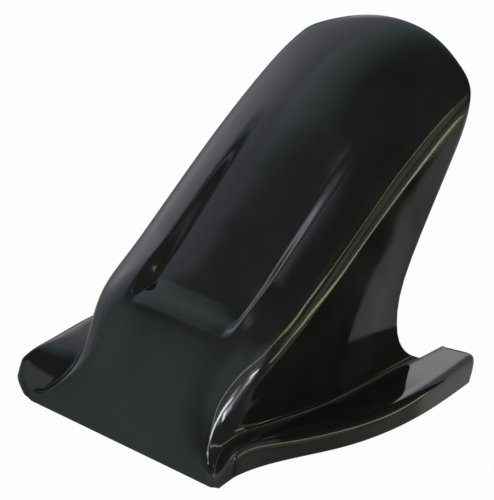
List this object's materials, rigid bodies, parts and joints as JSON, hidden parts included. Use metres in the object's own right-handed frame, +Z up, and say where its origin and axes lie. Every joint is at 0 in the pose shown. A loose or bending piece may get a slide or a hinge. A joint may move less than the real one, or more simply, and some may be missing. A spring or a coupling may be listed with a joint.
{
  "type": "tire hugger",
  "caption": "Rear tyre hugger for a motorcycle: a sloping front plate, a tall arch with a recessed centre panel and a rounded tail, and side wings with a turned-down lip.",
  "frame": {"origin": "on the ground under the middle of the part, halfway between its front edge and the tip of its tail", "axes": "+X across, with the part the same on both sides of X = 0; +Y from the front edge back to the tail; +Z up"},
  "size_m": [0.3244, 0.3672, 0.2881],
  "materials": {
    "gloss_black": "gloss"
  },
  "bodies": {
    "root": {"shell": "gloss_black"}
  },
  "joints": []
}
